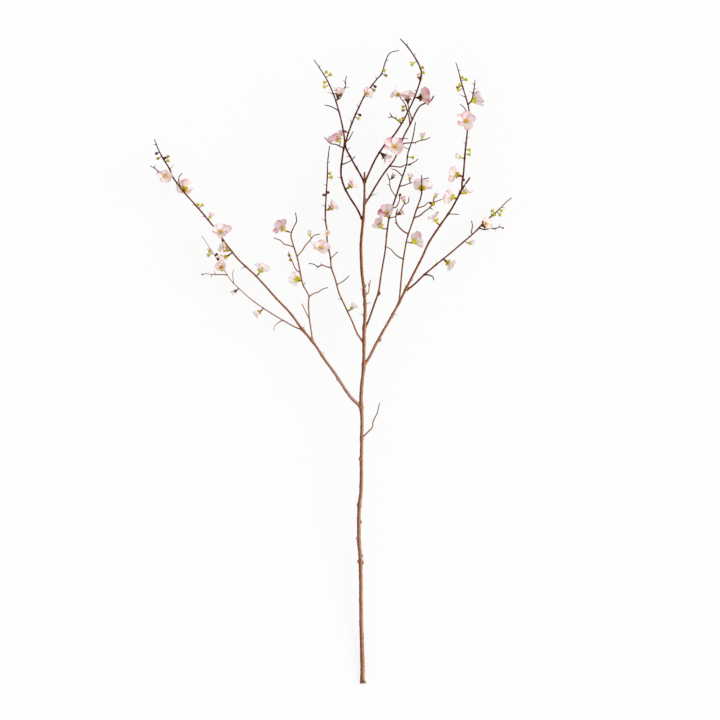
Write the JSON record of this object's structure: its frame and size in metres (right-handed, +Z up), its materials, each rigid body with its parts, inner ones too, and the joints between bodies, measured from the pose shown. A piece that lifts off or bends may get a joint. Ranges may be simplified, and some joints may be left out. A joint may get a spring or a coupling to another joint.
{
  "type": "quince blossom branch",
  "caption": "Cut flowering quince branch that lies on a surface: a thorny forked stem with green buds and pale pink blossoms with yellow stamens.",
  "frame": {"origin": "centre of the plan of the bounding box, at the height of the surface that the branch lies on", "axes": "+Y runs along the branch from the cut butt to the tips, +X to the right as seen from above, +Z up off the surface"},
  "size_m": [0.723, 1.289, 0.1712],
  "materials": {
    "bark": "matt reddish brown bark, tan on the old wood",
    "petals": "soft satin, pale pink with stronger pink edges",
    "stamens": "matt yellow orange"
  },
  "bodies": {
    "root": {"crownCross_bloom_1": "petals", "crownCross_stamens_1": "stamens", "crownFar_bloom_1": "petals", "crownFar_bloom_2": "petals", "crownFar_bloom_3": "petals", "crownLeft_bloom_1": "petals", "crownLeft_bloom_2": "petals", "crownLeft_bloom_3": "petals", "crownLeft_stamens_2": "stamens", "crownRight_bloom_1": "petals", "crownRight_bloom_2": "petals", "crownRight_bloom_3": "petals", "crownRight_bloom_4": "petals", "crownRight_stamens_2": "stamens", "innerLeft_bloom_1": "petals", "innerLeft_bloom_2": "petals", "innerLeft_bloom_3": "petals", "innerLeft_bloom_4": "petals", "innerLeft_stamens_2": "stamens", "innerRight_bloom_1": "petals", "innerRight_bloom_2": "petals", "innerRight_bloom_3": "petals", "innerRight_bloom_4": "petals", "innerRight_bloom_5": "petals", "innerRight_stamens_1": "stamens", "leftLimb_bloom_1": "petals", "leftLimb_bloom_2": "petals", "leftLimb_bloom_3": "petals", "leftLimb_bloom_4": "petals", "leftLimb_bloom_5": "petals", "leftLimb_bloom_6": "petals", "leftLimb_bloom_7": "petals", "leftLimb_stamens_1": "stamens", "leftLimb_stamens_3": "stamens", "leftLow_bloom_1": "petals", "leftLow_bloom_2": "petals", "leftLow_bloom_3": "petals", "leftLow_stamens_1": "stamens", "leftSpray_bloom_1": "petals", "leftSpray_bloom_2": "petals", "leftSpray_bloom_3": "petals", "leftSpray_stamens_1": "stamens", "midRight_bloom_1": "petals", "midRight_bloom_2": "petals", "midRight_bloom_3": "petals", "midRight_bloom_4": "petals", "rightLimb_bloom_1": "petals", "rightLimb_bloom_2": "petals", "rightLimb_bloom_3": "petals", "rightLow_bloom_1": "petals", "rightLow_bloom_2": "petals", "rightLow_bloom_3": "petals", "rightTop_bloom_1": "petals", "rightTop_bloom_2": "petals", "rightTop_bloom_3": "petals", "rightTop_bloom_4": "petals", "rightTop_stamens_2": "stamens", "wood": "bark"}
  },
  "joints": []
}
